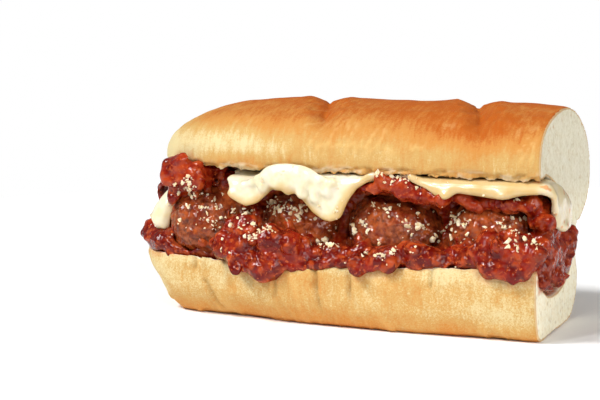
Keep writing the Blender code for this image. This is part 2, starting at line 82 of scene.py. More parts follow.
# Paler and darker places on the crown: centre x and z, half width and height, change
CROWN_TONES = (
    (-30.0, 63.0, 22.0, 5.5, -0.26),
    (-62.0, 60.0, 12.0, 9.0, -0.16),
    (-24.0, 55.5, 16.0, 3.0, 0.26),
    (12.0, 55.0, 18.0, 4.0, 0.08),
    (54.0, 66.0, 20.0, 6.0, 0.42),
    (56.0, 56.0, 24.0, 5.0, 0.16),
)

# Swellings that carry the left slice up over the crown's edge: centre and size
SLICE_RIDGE = (
    (-25.5, -39.6, 47.2, 1.5),
    (-22.8, -40.0, 48.2, 1.7),
    (-20.0, -40.4, 49.3, 2.0),
    (-17.0, -40.7, 50.6, 2.2),
    (-13.5, -40.9, 51.6, 2.4),
    (-9.5, -41.0, 52.2, 2.4),
    (-5.5, -41.0, 51.9, 2.4),
    (-1.5, -40.9, 51.0, 2.3),
    (2.5, -40.7, 50.0, 2.1),
    (6.5, -40.4, 49.4, 1.9),
    (-18.0, -40.4, 47.0, 1.9),
    (-13.0, -40.8, 48.2, 2.2),
    (-8.5, -40.9, 48.8, 2.3),
    (-4.0, -40.9, 48.2, 2.3),
    (0.5, -40.7, 47.0, 2.2),
    (4.5, -40.4, 46.4, 2.0),
    (-9.0, -40.6, 46.0, 1.9),
    (-4.0, -40.7, 45.4, 2.1),
    (0.5, -40.5, 44.0, 2.0),
)

# Melted rims: the gap between drops along a hanging edge, and their size on the slices and the corner
BEAD_GAP = 0.9
THICK_BEAD = 1.5
THIN_BEAD = 0.7

# Where a slice's hanging front starts as y, where the flap starts as x, and the corner's shift along x
SLICE_FRONT = -37.5
FLAP_X = 77.0
CORNER_SHIFT = 2.3

# How far a bit sinks into what it lies on, or a grain stands off it, as a share of its size
SUNK = 0.35

# The smooth fold of tomato over the first meatball: centre and size
TOMATO_FOLD = (
    (-57.0, -34.5, 52.3, 2.6),
    (-53.0, -35.5, 52.8, 2.8),
    (-49.0, -36.0, 52.2, 2.7),
    (-45.5, -36.0, 50.4, 2.5),
    (-43.0, -36.0, 48.0, 2.2),
    (-57.5, -34.0, 48.6, 2.6),
    (-54.0, -35.5, 48.0, 2.6),
    (-50.5, -36.2, 48.2, 2.6),
    (-47.0, -36.2, 47.2, 2.4),
    (-55.5, -34.8, 50.4, 2.7),
    (-51.0, -36.0, 50.4, 2.8),
    (-47.0, -36.2, 49.8, 2.5),
)

# Height of the lower half's front lip along the roll
LIP_X = (-49.0, -7.0, 9.0, 52.0, 76.0)
LIP_Z = (21.7, 20.0, 22.0, 24.2, 25.0)

# The way the grated cheese was strewn, seen from the front
FALL = Vector((-0.3, 0.93, -0.2)).normalized()

# Drifts of grated cheese seen from the front: centre x and z, half width, half height, grains
DRIFTS = (
    (-50.0, 44.5, 6.0, 3.0, 44),
    (-43.0, 37.0, 4.0, 3.5, 14),
    (-38.0, 33.0, 4.0, 5.0, 16),
    (-25.0, 31.0, 6.0, 4.0, 34),
    (-16.0, 40.0, 3.5, 2.4, 40),
    (-8.0, 37.0, 6.0, 4.0, 16),
    (28.0, 51.5, 6.0, 2.6, 40),
    (22.0, 42.0, 5.0, 2.5, 18),
    (30.0, 35.0, 6.0, 5.0, 16),
    (48.0, 38.0, 5.0, 6.0, 30),
    (66.0, 37.0, 7.0, 3.5, 30),
    (69.0, 31.0, 6.0, 3.5, 26),
    (22.0, 24.0, 7.0, 2.5, 16),
    (5.0, 27.0, 6.0, 3.0, 18),
    (0.0, 36.0, 80.0, 14.0, 200),
)

# The smallest grain of cheese and how much larger the largest is, in radius
GRAIN_LEAST = 0.24
GRAIN_SPREAD = 0.62

# Grains fall from this far off towards AIM_Y, in clumps, and stay in front of one y and above one z
FALL_LENGTH = 50.0
AIM_Y = -34.0
CLUMP_LIMIT = 9
GRAINS_BACK_Y = -12.0
GRAINS_LEAST_Z = 17.0
TRIES_PER_GRAIN = 12

# The round floor reaches this far, and this far in front of the roll's middle
FLOOR_RADIUS = 340.0
FLOOR_FRONT = 260.0

# The camera's place in metres, its turns round and down in degrees, and the place the lights point at
CAMERA_PLACE = (0.1939, -0.5322, 0.1061)
CAMERA_ROUND = 22.0
CAMERA_DOWN = 6.77
CAMERA_LENS = 96.0
LIT_PLACE = Vector((0.0, -0.02, 0.035))

# Large whole numbers that scatter neighbouring cells and seeds, and the largest one that they give
SPREADERS = (73856093, 19349663, 83492791, 15485863)
MIXERS = (1274126177, 668265263)
WORD = 0xFFFFFFFF


def tone(red, green, blue):
    """A linear colour from its screen values."""
    shares = [c / 255 for c in (red, green, blue)]
    return [c / 12.92 if c <= 0.04045 else ((c + 0.055) / 1.055) ** 2.4 for c in shares] + [1.0]


def smooth(value, low=0.0, high=1.0):
    """A soft step from 0 at low to 1 at high."""
    t = np.clip((value - low) / (high - low), 0.0, 1.0)
    return t * t * (3 - 2 * t)


# Random patterns in space

def lattice(cell, seed):
    """A steady random number from 0 to 1 for each whole-number cell."""
    h = (seed + 1) * SPREADERS[3]
    for axis in range(3):
        h = h ^ cell[:, axis].astype(np.int64) * SPREADERS[axis]
    h = ((h ^ (h >> 13)) * MIXERS[0]) & WORD
    h = ((h ^ (h >> 16)) * MIXERS[1]) & WORD
    return (h ^ (h >> 15)) / (WORD + 1)


def noise(points, seed=0):
    """Smooth random values from -1 to 1 that change over one unit."""
    base = np.floor(points)
    f = points - base
    u = f * f * f * (f * (f * 6 - 15) + 10)
    total = np.zeros(len(points))
    for i in (0, 1):
        for j in (0, 1):
            for k in (0, 1):
                weight = np.abs(1 - i - u[:, 0]) * np.abs(1 - j - u[:, 1]) * np.abs(1 - k - u[:, 2])
                total += weight * lattice(base + (i, j, k), seed)
    return total * 2 - 1


def fbm(points, octaves=3, seed=0):
    """Several sizes of smooth noise together."""
    total = np.zeros(len(points))
    share = 0.5
    for k in range(octaves):
        total += share * noise(points * 2.03 ** k, seed + 17 * k)
        share *= 0.5
    return total


def cells(points, seed=0):
    """Distance to the nearest scattered point, and that point's own random number."""
    base = np.floor(points)
    first = np.full(len(points), 9.0)
    own = np.zeros(len(points))
    for i in (-1, 0, 1):
        for j in (-1, 0, 1):
            for k in (-1, 0, 1):
                corner = base + (i, j, k)
                spot = corner + np.stack([lattice(corner, seed + s) for s in (0, 1, 2)], axis=1)
                distance = np.sqrt(((spot - points) ** 2).sum(axis=1))
                nearer = distance < first
                own = np.where(nearer, lattice(corner, seed + 3), own)
                first = np.minimum(first, distance)
    return first, own


def lumps(points, size, seed, reach, softness, chosen):
    """Rounded lumps of about this spacing, at the scattered points whose own number is high enough."""
    first, own = cells(points / size, seed)
    return smooth(reach - first, 0.0, softness) * smooth(own, *chosen)


def wandered(points, amount, size, octaves):
    """The points shifted softly, so that a pattern over them loses its evenness."""
    shift = np.stack([fbm(points / size, octaves, seed) for seed in (7, 8, 9)], axis=1)
    return points + amount * shift


# Surfaces

def welded(node):
    """A solid's points in millimetres and its triangles."""
    bm = bmesh.new()
    bm.from_mesh(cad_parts[node].data)
    bmesh.ops.remove_doubles(bm, verts=bm.verts, dist=1e-6)
    bmesh.ops.triangulate(bm, faces=bm.faces)
    bm.verts.index_update()
    points = np.array([v.co for v in bm.verts]) / MM
    faces = np.array([[v.index for v in f.verts] for f in bm.faces])
    bm.free()
    return points, faces


def tree_of(parts):
    """A search tree over several shapes, in millimetres."""
    points, faces = together(parts)
    return BVHTree.FromPolygons(points.tolist(), faces.tolist())


def together(parts):
    """Several shapes' points and faces as one list each."""
    offsets = np.cumsum([0] + [len(p) for p, _ in parts[:-1]])
    points = np.concatenate([p for p, _ in parts])
    faces = np.concatenate([f + offset for (_, f), offset in zip(parts, offsets)])
    return points, faces


def ball(level):
    """A round ball's points and triangles, radius 1."""
    bm = bmesh.new()
    bmesh.ops.create_icosphere(bm, subdivisions=level, radius=1.0)
    bm.verts.index_update()
    points = np.array([v.co for v in bm.verts])
    faces = np.array([[v.index for v in f.verts] for f in bm.faces])
    bm.free()
    return points, faces


def turned(draw):
    """A random rotation."""
    q, _ = np.linalg.qr(draw.normal(size=(3, 3)))
    return q


def blobs(centres, sizes, draw, level=2, uneven=0.25, stretch=0.3):
    """Uneven rounded bits at these centres."""
    points, faces = ball(level)
    parts = []
    for centre, size in zip(centres, sizes):
        scale = size * (1 + draw.uniform(-stretch, stretch, 3))
        lump = 1 + uneven * noise(points * 1.7 + draw.uniform(-50, 50, 3))
        parts.append((points * lump[:, None] * scale @ turned(draw) + centre, faces))
    return parts


def main_islands(count, quads, least):
    """The quads that belong to pieces of at least this many points."""
    a, b = quads[:, [0, 1, 2]].ravel(), quads[:, [1, 2, 3]].ravel()
    label = np.arange(count)
    while True:
        low = np.minimum(label[a], label[b])
        new = label.copy()
        np.minimum.at(new, a, low)
        np.minimum.at(new, b, low)
        new = new[new]
        if (new == label).all():
            break
        label = new
    sizes = np.bincount(label, minlength=count)
    return quads[sizes[label[quads[:, 0]]] >= least]


class Skin:
    """A dense closed surface of even quads over closed shapes. Its points are moved as arrays."""

    def __init__(self, name, parts, voxel, least=400):
        points, faces = together(parts)
        rough = bpy.data.meshes.new(name)
        rough.from_pydata((points * MM).tolist(), [], faces.tolist())
        self.obj = bpy.data.objects.new(name, rough)
        bpy.context.scene.collection.objects.link(self.obj)
        modifier = self.obj.modifiers.new("skin", "REMESH")
        modifier.mode = "VOXEL"
        modifier.voxel_size = voxel * MM
        graph = bpy.context.evaluated_depsgraph_get()
        dense = bpy.data.meshes.new_from_object(self.obj.evaluated_get(graph))
        self.obj.modifiers.clear()
        points = np.empty(len(dense.vertices) * 3, np.float32)
        dense.vertices.foreach_get("co", points)
        points = points.reshape(-1, 3).astype(float) / MM
        quads = np.empty(len(dense.loops), np.int32)
        dense.loops.foreach_get("vertex_index", quads)
        quads = main_islands(len(points), quads.reshape(-1, 4), least)
        used, quads = np.unique(quads, return_inverse=True)
        self.points = points[used]
        self.quads = quads.reshape(-1, 4)
        mesh = bpy.data.meshes.new(name)
        mesh.from_pydata((self.points * MM).tolist(), [], self.quads.tolist())
        mesh.shade_smooth()
        self.obj.data = mesh
        bpy.data.meshes.remove(rough)
        bpy.data.meshes.remove(dense)
        self.from_end = self.quads.ravel()
        self.to_end = np.roll(self.quads, 1, axis=1).ravel()
        self.ties = np.bincount(self.from_end, minlength=len(self.points)).astype(float)

    def spread(self, values, rounds, share=0.5):
        """Values of the points averaged with their neighbours' several times."""
        flat = values.reshape(len(values), -1).copy()
        for _ in range(rounds):
            for k in range(flat.shape[1]):
                gathered = np.bincount(self.from_end, flat[self.to_end, k], len(flat)) / self.ties
                flat[:, k] += share * (gathered - flat[:, k])
        return flat.reshape(values.shape)

    def relax(self, rounds, share=0.5, hold=None):
        """Smooths the surface, less where hold is near 1."""
        moved = self.spread(self.points, rounds, share) - self.points
        self.points += moved if hold is None else moved * (1 - hold)[:, None]

    def normals(self):
        """Each point's outward direction."""
        p = self.points[self.quads]
        cross = np.cross(p[:, 2] - p[:, 0], p[:, 3] - p[:, 1])
        total = np.zeros_like(self.points)
        for k in range(3):
            total[:, k] = np.bincount(self.quads.ravel(), np.repeat(cross[:, k], 4), len(total))
        return total / np.maximum(np.linalg.norm(total, axis=1), 1e-12)[:, None]

    def hollows(self, rounds):
        """How far each point lies below its surroundings, in millimetres."""
        return ((self.spread(self.points, rounds) - self.points) * self.normals()).sum(axis=1)

    def push(self, amount, normals=None):
        """Moves each point outwards."""
        self.points += (self.normals() if normals is None else normals) * amount[:, None]

    def paint(self, name, values):
        """Keeps one number a point for the material."""
        made = self.obj.data.attributes.new(name, "FLOAT", "POINT")
        made.data.foreach_set("value", np.clip(values, 0, 1).astype(np.float32))

    def finish(self, material, slot, *nodes):
        """Writes the points back and puts the piece in place of its solids."""
        self.obj.data.vertices.foreach_set("co", (self.points * MM).astype(np.float32).ravel())
        self.obj.data.update()
        self.obj.data.materials.append(material)
        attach(self.obj, "root")
        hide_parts(*nodes)
        return self.points, self.quads


# Materials

class Finish:
    """One material, built up from patterns."""

    def __init__(self, name):
        self.material = bpy.data.materials.new(name)
        self.material.use_nodes = True
        self.tree = self.material.node_tree
        self.tree.nodes.clear()
        self.place = self.node("ShaderNodeTexCoord").outputs["Object"]

    def node(self, kind, inputs=None, **settings):
        """Adds one shading node, with a value or a link at each of these inputs."""
        made = self.tree.nodes.new(kind)
        for key, value in settings.items():
            setattr(made, key, value)
        for key, value in (inputs or {}).items():
            if isinstance(value, bpy.types.NodeSocket):
                self.tree.links.new(value, made.inputs[key])
            else:
                made.inputs[key].default_value = value
        return made

    def painted(self, name):
        """The number kept at the points under this name."""
        return self.node("ShaderNodeAttribute", attribute_name=name).outputs["Fac"]

    def grain(self, size, detail=3.0, roughness=0.55, stretch=(1.0, 1.0, 1.0), turn=(0.0, 0.0, 0.0)):
        """Soft random patches of about this size."""
        place = self.node("ShaderNodeMapping", {"Vector": self.place, "Scale": stretch, "Rotation": turn})
        inputs = {"Vector": place.outputs["Vector"], "Scale": 1 / (size * MM), "Detail": detail,
                  "Roughness": roughness}
        return self.node("ShaderNodeTexNoise", inputs).outputs["Fac"]

    def step(self, value, low, high, start=0.0, end=1.0):
        """A soft step of a value from start at low to end at high."""
        inputs = {"Value": value, "From Min": low, "From Max": high, "To Min": start, "To Max": end}
        return self.node("ShaderNodeMapRange", inputs, interpolation_type="SMOOTHSTEP").outputs["Result"]

    def along(self, axis, low, high, start=0.0, end=1.0):
        """A soft step along an axis, between two places in millimetres."""
        place = self.node("ShaderNodeSeparateXYZ", {"Vector": self.place}).outputs[axis]
        return self.step(place, low * MM, high * MM, start, end)

    def add(self, first, second):
        """Two values together."""
        return self.node("ShaderNodeMath", {0: first, 1: second}, operation="ADD").outputs[0]

    def times(self, first, second):
        """One value scaled by another."""
        return self.node("ShaderNodeMath", {0: first, 1: second}, operation="MULTIPLY").outputs[0]

    def swing(self, pattern, strength):
        """A pattern around a half, as a change that goes both up and down."""
        centred = self.node("ShaderNodeMath", {0: pattern, 1: 0.5}, operation="SUBTRACT").outputs[0]
        return self.times(centred, strength)

    def mix(self, share, first, second):
        """A colour between two colours."""
        return self.node("ShaderNodeMix", {0: share, 6: first, 7: second}, data_type="RGBA").outputs[2]

    def relief(self, height, distance):
        """Fine relief in the shading."""
        inputs = {"Height": height, "Distance": distance * MM, "Strength": 1.0}
        return self.node("ShaderNodeBump", inputs).outputs["Normal"]

    def surface(self, **sockets):
        """Ends the material with its surface."""
        shader = self.node("ShaderNodeBsdfPrincipled", {k.replace("_", " "): v for k, v in sockets.items()})
        output = self.node("ShaderNodeOutputMaterial")
        self.tree.links.new(shader.outputs["BSDF"], output.inputs["Surface"])
        return self.material


def crumb_colour(f):
    """White crumb, painted greyer and darker in the upper half as painted shade and lighter and warmer in
    the lower half as painted light, with its pores painted darker as painted shade.
    """
    fine = f.times(f.grain(0.8, 3.0, 0.6), 0.5)
    share = f.step(f.add(fine, f.times(f.grain(3.2, 3.0, 0.6), 0.5)), 0.38, 0.6)
    upper = f.mix(share, tone(222, 213, 186), tone(234, 227, 205))
    lower = f.mix(share, tone(246, 234, 200), tone(254, 247, 222))
    # Painted light and shade: the crumb is painted darker and greyer in the upper half and lighter and
    # warmer in the lower half
    crumb = f.mix(f.along("Z", 30.0, 50.0), lower, upper)
    # Painted shade: the pores are painted darker
    return f.mix(f.painted("pore_shade"), crumb, tone(196, 176, 134))


def bread_finish():
    """Golden crust with pale streaks, and white crumb."""
    f = Finish("golden_crust_and_crumb")
    fine = f.grain(0.6, 5.0, 0.78)
    fibres = f.grain(1.5, 3.0, 0.6, (1.0, 0.25, 0.22), (0.0, 0.34, 0.0))
    on_crown = f.along("Z", 45.0, 55.0, 0.34, 0.55)
    level = f.add(f.painted("brownness"), f.swing(f.grain(9.0, 4.0), 0.32))
    level = f.add(level, f.swing(fibres, f.times(on_crown, f.along("X", -66.0, -35.0, 0.35, 1.0))))
    level = f.add(level, f.swing(fine, f.along("Z", 30.0, 45.0, 1.25, 0.6)))
    level = f.add(level, f.swing(f.grain(3.0, 3.0, 0.6), f.along("Z", 30.0, 45.0, 0.12, 0.1)))
    pale = f.mix(f.step(level, 0.0, 0.3), tone(218, 200, 150), tone(202, 162, 98))
    gold = f.mix(f.step(level, 0.25, 0.62), pale, tone(200, 138, 70))
    brown = f.mix(f.step(level, 0.6, 1.05), gold, tone(182, 92, 30))
    crust = f.mix(f.times(f.painted("streak"), 0.4), brown, tone(222, 184, 118))
    crumb = crumb_colour(f)
    cut = f.along("X", CUT_X - 0.5, CUT_X - 0.2)
    rim = f.times(cut, f.step(f.painted("edge"), 0.62, 0.84, 0.75, 0.0))
    bread = f.mix(f.painted("crumb"), crust, crumb)
    bread = f.mix(cut, bread, crumb)
    bread = f.mix(rim, bread, tone(206, 160, 96))
    bread = f.mix(f.painted("stain"), bread, tone(206, 104, 56))
    height = f.add(f.times(fine, 1.3), f.times(f.grain(3.5, 3.0), 0.8))
    height = f.add(height, f.times(fibres, on_crown))
    return f.surface(Base_Color=bread, Roughness=f.step(f.painted("crumb"), 0.0, 1.0, 0.5, 0.9),
                     Subsurface_Weight=0.08, Subsurface_Radius=(1.0, 0.5, 0.25), Subsurface_Scale=0.0015,
                     Specular_IOR_Level=0.03, Normal=f.relief(height, 0.2))


def meat_finish():
    """Coarse browned meat under a thin red glaze."""
    f = Finish("glazed_meat")
    mottled = f.grain(2.2, 4.0, 0.65)
    meat = f.mix(f.step(mottled, 0.36, 0.66), tone(98, 40, 18), tone(160, 82, 42))
    # Painted shade: the meat is painted darker in its hollows
    meat = f.mix(f.painted("hollow_shade"), meat, tone(58, 16, 8))
    wet = f.mix(f.step(f.grain(3.4, 4.0), 0.38, 0.62), tone(110, 32, 12), tone(168, 78, 33))
    glaze = f.times(f.painted("glaze"), f.step(f.grain(1.3, 3.0), 0.3, 0.6, 0.35, 0.9))
    height = f.add(f.times(f.grain(0.8, 2.0, 0.6), 0.06), f.grain(1.9, 0.0))
    return f.surface(Base_Color=f.mix(glaze, meat, wet), Roughness=f.step(glaze, 0.0, 0.8, 0.34, 0.11),
                     Subsurface_Weight=0.08, Subsurface_Radius=(1.0, 0.3, 0.15), Subsurface_Scale=0.002,
                     Specular_IOR_Level=0.3, Normal=f.relief(height, 0.7))


def sauce_finish():
    """Wet chunky tomato sauce."""
    f = Finish("tomato_sauce")
    # Painted light and shade on top of the sauce's own patches: the red turns lighter and more orange
    # higher up, where the tops catch the light, and deeper on the low lobes
    share = f.add(f.grain(6.5, 4.0, 0.6), f.along("Z", 20.0, 48.0, -0.12, 0.04))
    red = f.mix(f.step(share, 0.36, 0.52), tone(94, 11, 4), tone(126, 21, 6))
    red = f.mix(f.step(share, 0.5, 0.68), red, tone(164, 54, 18))
    red = f.mix(f.painted("chunk"), red, tone(172, 68, 26))
    red = f.mix(f.painted("glazed"), red, tone(146, 62, 26))
    # Painted shade: the sauce is painted near black in its hollows
    red = f.mix(f.painted("hollow_shade"), red, tone(40, 6, 4))
    red = f.mix(f.step(f.grain(1.3, 3.0, 0.6), 0.56, 0.68, 0.0, 0.75), red, tone(190, 86, 38))
    height = f.add(f.grain(2.0, 0.0), f.times(f.grain(0.7, 1.0), 0.14))
    return f.surface(Base_Color=red, Roughness=0.14, Subsurface_Weight=0.06,
                     Subsurface_Radius=(1.0, 0.25, 0.1), Subsurface_Scale=0.002,
                     Specular_IOR_Level=0.27, Normal=f.relief(height, 0.7))


def slice_finish():
    """Melted cheese, creamy where thick and yellower towards its rim."""
    f = Finish("melted_cheese")
    cream = f.mix(f.step(f.grain(5.0, 3.0), 0.36, 0.62), tone(224, 214, 176), tone(230, 223, 198))
    colour = f.mix(f.painted("rim"), cream, tone(202, 164, 92))
    colour = f.mix(f.painted("toast"), colour, tone(214, 136, 70))
    height = f.add(f.grain(3.0, 2.0), f.times(f.grain(1.0, 2.0), 0.25))
    return f.surface(Base_Color=colour, Roughness=0.27, Subsurface_Weight=0.35,
                     Subsurface_Radius=(1.0, 0.75, 0.4), Subsurface_Scale=0.002,
                     Coat_Weight=0.25, Coat_Roughness=0.1, Normal=f.relief(height, 0.05))


def grain_finish():
    """Dry grated hard cheese."""
    f = Finish("grated_cheese")
    colour = f.mix(f.step(f.grain(1.6, 2.0), 0.3, 0.7), tone(236, 208, 158), tone(246, 232, 202))
    return f.surface(Base_Color=colour, Roughness=0.6, Subsurface_Weight=0.25,
                     Subsurface_Radius=(1.0, 0.7, 0.4), Subsurface_Scale=0.001,
                     Normal=f.relief(f.grain(0.4, 2.0), 0.08))


def floor_finish():
    """Plain white, which glows a little towards its rim so that the rim doesn't show."""
    f = Finish("white_floor")
    colour = f.mix(f.grain(30.0, 2.0), tone(252, 252, 252), tone(254, 254, 254))
    distance = f.node("ShaderNodeVectorMath", {0: f.place}, operation="LENGTH").outputs["Value"]
    glow = f.step(distance, (FLOOR_RADIUS - 140.0) * MM, (FLOOR_RADIUS - 20.0) * MM, 0.0, 0.4)
    return f.surface(Base_Color=colour, Roughness=0.9, Specular_IOR_Level=0.1,
                     Emission_Color=tone(255, 255, 255), Emission_Strength=glow)


# Roll

def near_line(x, z, line):
    """Distance from the points to a line through several corners, and how far along it they are."""
    best = np.full(len(x), 1e9)
    share = np.zeros(len(x))
    for k, ((ax, az), (bx, bz)) in enumerate(zip(line, line[1:])):
        length = (bx - ax) ** 2 + (bz - az) ** 2
        t = np.clip(((x - ax) * (bx - ax) + (z - az) * (bz - az)) / length, 0, 1)
        distance = np.hypot(x - ax - t * (bx - ax), z - az - t * (bz - az))
        nearer = distance < best
        best = np.where(nearer, distance, best)
        share = np.where(nearer, (k + t) / (len(line) - 1), share)
    return best, share


def crumb_shares(p, n):
    """How far each point shows torn crumb inside the roll, and how far it lies on the cut end."""
    x, y, z = p.T
    to_fill = np.stack([FILL_Y - y, FILL_Z - z], axis=1)
    to_fill /= np.linalg.norm(to_fill, axis=1)[:, None]
    facing = (n[:, 1:] * to_fill).sum(axis=1) + 0.12 * fbm(p / 3.0, 3, 5)
    inside = smooth(facing, -0.02, 0.16) * smooth(-y, -13.0, -8.0)
    crown_front = smooth(-y, 30.0, 34.0) * smooth(z, 45.0, 50.0)
    cut = smooth(x, CUT_X - 1.0, CUT_X - 0.4) * smooth(n[:, 0], 0.45, 0.75)
    return inside * (1 - crown_front), cut


def crown_streaks(p):
    """Pale raised streaks that slant down the crown's front, in patches."""
    x, y, z = p.T
    slanted = np.stack([(x - 0.35 * z) / 1.7, z / 6.5, y / 9.0], axis=1)
    ridges = smooth(1 - np.abs(noise(slanted, 3)) * 3.4, 0.1, 1.0)
    patches = smooth(fbm(p / 9.0, 2, 9), 0.0, 0.3)
    band = smooth(z, 55.0, 60.0) * (1 - smooth(z, 67.0, 72.0)) * smooth(-y, -2.0, 8.0)
    return ridges * patches * band * (0.35 + 0.65 * smooth(x, -62.0, -40.0))


def heel_folds(p):
    """Broad soft upright folds."""
    x, y, z = p.T
    upright = np.stack([(x + 0.25 * z) / 3.4, z / 13.0, y / 9.0], axis=1)
    return smooth(1 - np.abs(noise(upright, 23)) * 2.4, 0.2, 1.0) * smooth(fbm(p / 12.0, 2, 31), -0.1, 0.2)


def heel_wrinkles(p):
    """Narrow upright dents, which stop above the base."""
    x, y, z = p.T
    upright = np.stack([(x + 0.12 * z) / 3.0, z / 6.5, y / 8.0], axis=1)
    lines = smooth(1 - np.abs(noise(upright, 27)) * 4.5, 0.1, 1.0)
    return lines * smooth(fbm(p / 7.0, 2, 33), -0.02, 0.2) * smooth(z, 6.0, 12.0)


def near_grooves(p, half_width, wander=0.0):
    """How near each point is to the middle of a scored groove, from 0 to 1."""
    x, y, _ = p.T
    total = np.zeros(len(p))
    for middle in GROOVES:
        off = (x - middle - GROOVE_SLANT * y + wander * noise(p / 5.0, 41)) / half_width
        total += np.exp(-off * off)
    return total


def crease_relief(p):
    """The pressed creases of the lower half, each with a slightly raised side."""
    x, _, z = p.T
    wander = 0.55 * noise(p / 3.5, 51)
    total = np.zeros(len(p))
    for line, depth_share in HEEL_CREASES:
        distance, share = near_line(x + wander, z, line)
        fade = np.sin(np.pi * np.clip(0.12 + 0.88 * share, 0, 1)) ** 0.6
        dent = CREASE_DEPTH * np.exp(-(distance / CREASE_HALF_WIDTH) ** 2)
        rise = CREASE_RIM_RISE * np.exp(-((distance - CREASE_RIM_AWAY) / CREASE_RIM_HALF_WIDTH) ** 2)
        total += depth_share * (rise - dent) * fade
    return total


def crumb_pores(p):
    """Large and small pores of the crumb."""
    large = lumps(p, 2.3, 81, 0.42, 0.2, (0.45, 0.6))
    small = lumps(p, 1.05, 91, 0.42, 0.2, (0.5, 0.7))
    return np.maximum(large, 0.7 * small)


def crown_bake(p, crown):
    """How brown the crown is, from its pale lower edge up to its top."""
    x, y, z = p.T
    brownness = 0.22 + 0.76 * smooth(z, 57.5, 77.0)
    brownness += (0.1 * smooth(y, -25.0, 20.0) - 0.22 * smooth(-x, 45.0, 70.0)) * crown
    for spot_x, spot_z, half_x, half_z, change in CROWN_TONES:
        brownness += change * np.exp(-((x - spot_x) / half_x) ** 2 - ((z - spot_z) / half_z) ** 2)
    return brownness


def heel_bake(p, n):
    """How brown the lower half is: more at its base, less towards both ends."""
    x, _, z = p.T
    base = 0.24 * (1 - smooth(z, 0.5, 9.0))
    underside = 0.25 * smooth(-n[:, 2], 0.5, 0.9) * (1 - smooth(z, 0.3, 3.0))
    ends = 0.12 * smooth(x, 0.0, 60.0) + 0.1 * smooth(-x, 0.0, 50.0)
    return 0.31 + base + underside - ends + 0.14 * fbm(p / 9.0, 3, 101)


def sauce_stain(p, sauce_tree):
    """How far the sauce has soaked into the bread near it."""
    _, y, z = p.T
    near = np.zeros(len(p))
    close = np.flatnonzero((y < 5) & (z > 8) & (z < 60))
    found = [sauce_tree.find_nearest(place, 4.0)[3] for place in p[close]]
    away = np.array([9.0 if distance is None else distance for distance in found])
    near[close] = 1 - smooth(away + 1.3 * fbm(p[close] / 2.0, 3, 131), 0.5, 2.6)
    return near


def make_roll(sauce_tree):
    """The baked roll with its crust, torn edges, creases and open crumb."""
    skin = Skin("baked_roll", [welded("bun")], ROLL_VOXEL)
    flat_end = smooth(skin.points[:, 0], CUT_X - 0.9, CUT_X - 0.45)
    skin.relax(4)
    skin.points[:, 0] += (CUT_X - skin.points[:, 0]) * flat_end
    p = skin.points
    x, y, z = p.T
    n = skin.normals()
    inside, cut = crumb_shares(p, n)
    crumb = np.maximum(inside, cut)
    crust = 1 - crumb
    crown = smooth(z, SEAM_Z - 3.0, SEAM_Z)
    heel = 1 - smooth(z, 26.0, 34.0)
    streaks = crown_streaks(p) * crown * crust
    folds = heel_folds(p) * heel
    wrinkles = heel_wrinkles(p) * heel * crust
    pores = crumb_pores(p) * crumb
    lower_edge = smooth(z, 51.0, 52.5) * (1 - smooth(z, 53.6, 55.6)) * smooth(-y, 30.0, 35.0)
    lip = smooth(z, 17.5, 20.0) * smooth(-y, 30.0, 36.0) * heel
    grooves = near_grooves(p, GROOVE_HALF_WIDTH, 0.5) * smooth(z, 64.0, 70.5) * crown

    amount = (0.45 * fbm(p / 19.0, 3, 2) + 0.22 * fbm(p / 7.0, 2, 6)) * crust
    amount += 0.13 * streaks + 0.46 * folds * crust - 0.34 * wrinkles
    amount += (crease_relief(p) * smooth(-y, 20.0, 30.0) * heel - GROOVE_DEPTH * grooves) * crust
    amount += lower_edge * (1.9 * fbm(np.stack([x / 2.1, y / 2.1, z / 0.9], axis=1), 3, 61) - 0.15)
    amount += 0.4 * lip * fbm(p / 2.6, 2, 71)
    amount += 0.18 * fbm(p / 1.6, 3, 95) * inside - 0.35 * pores
    skin.push(amount, n)
    skin.points[:, 2] = np.maximum(skin.points[:, 2], 0.0)
    skin.points[:, 0] = np.minimum(skin.points[:, 0], CUT_X)

    # Painted shade: the narrow dents of the lower half are also painted browner
    brownness = np.where(z > 40, crown_bake(p, crown), heel_bake(p, n) + 0.12 * wrinkles)
    brownness += 0.16 * fbm(p / 16.0, 3, 111) + 0.12 * (lower_edge - lip)
    # Painted shade: the crust is painted browner along the scored grooves
    brownness += 0.16 * near_grooves(p, GROOVE_SHADE_HALF_WIDTH) * smooth(z, 63.0, 70.0)
    torn = lower_edge * smooth(fbm(np.stack([x / 5.0, y / 5.0, z / 1.4], axis=1), 3, 121), -0.02, 0.25)
    skin.paint("brownness", brownness)
    skin.paint("streak", streaks + 0.5 * folds + 0.9 * torn)
    skin.paint("crumb", np.maximum(inside, 0.45 * torn))
    skin.paint("edge", skin.spread(cut, 5))
    # Painted shade for the crumb's pores, which darkens its dents
    skin.paint("pore_shade", 0.5 * pores)
    skin.paint("stain", sauce_stain(p, sauce_tree) * (0.25 + 0.6 * crumb))
    return skin.finish(bread_finish(), "crust", "bun")


# Meatballs

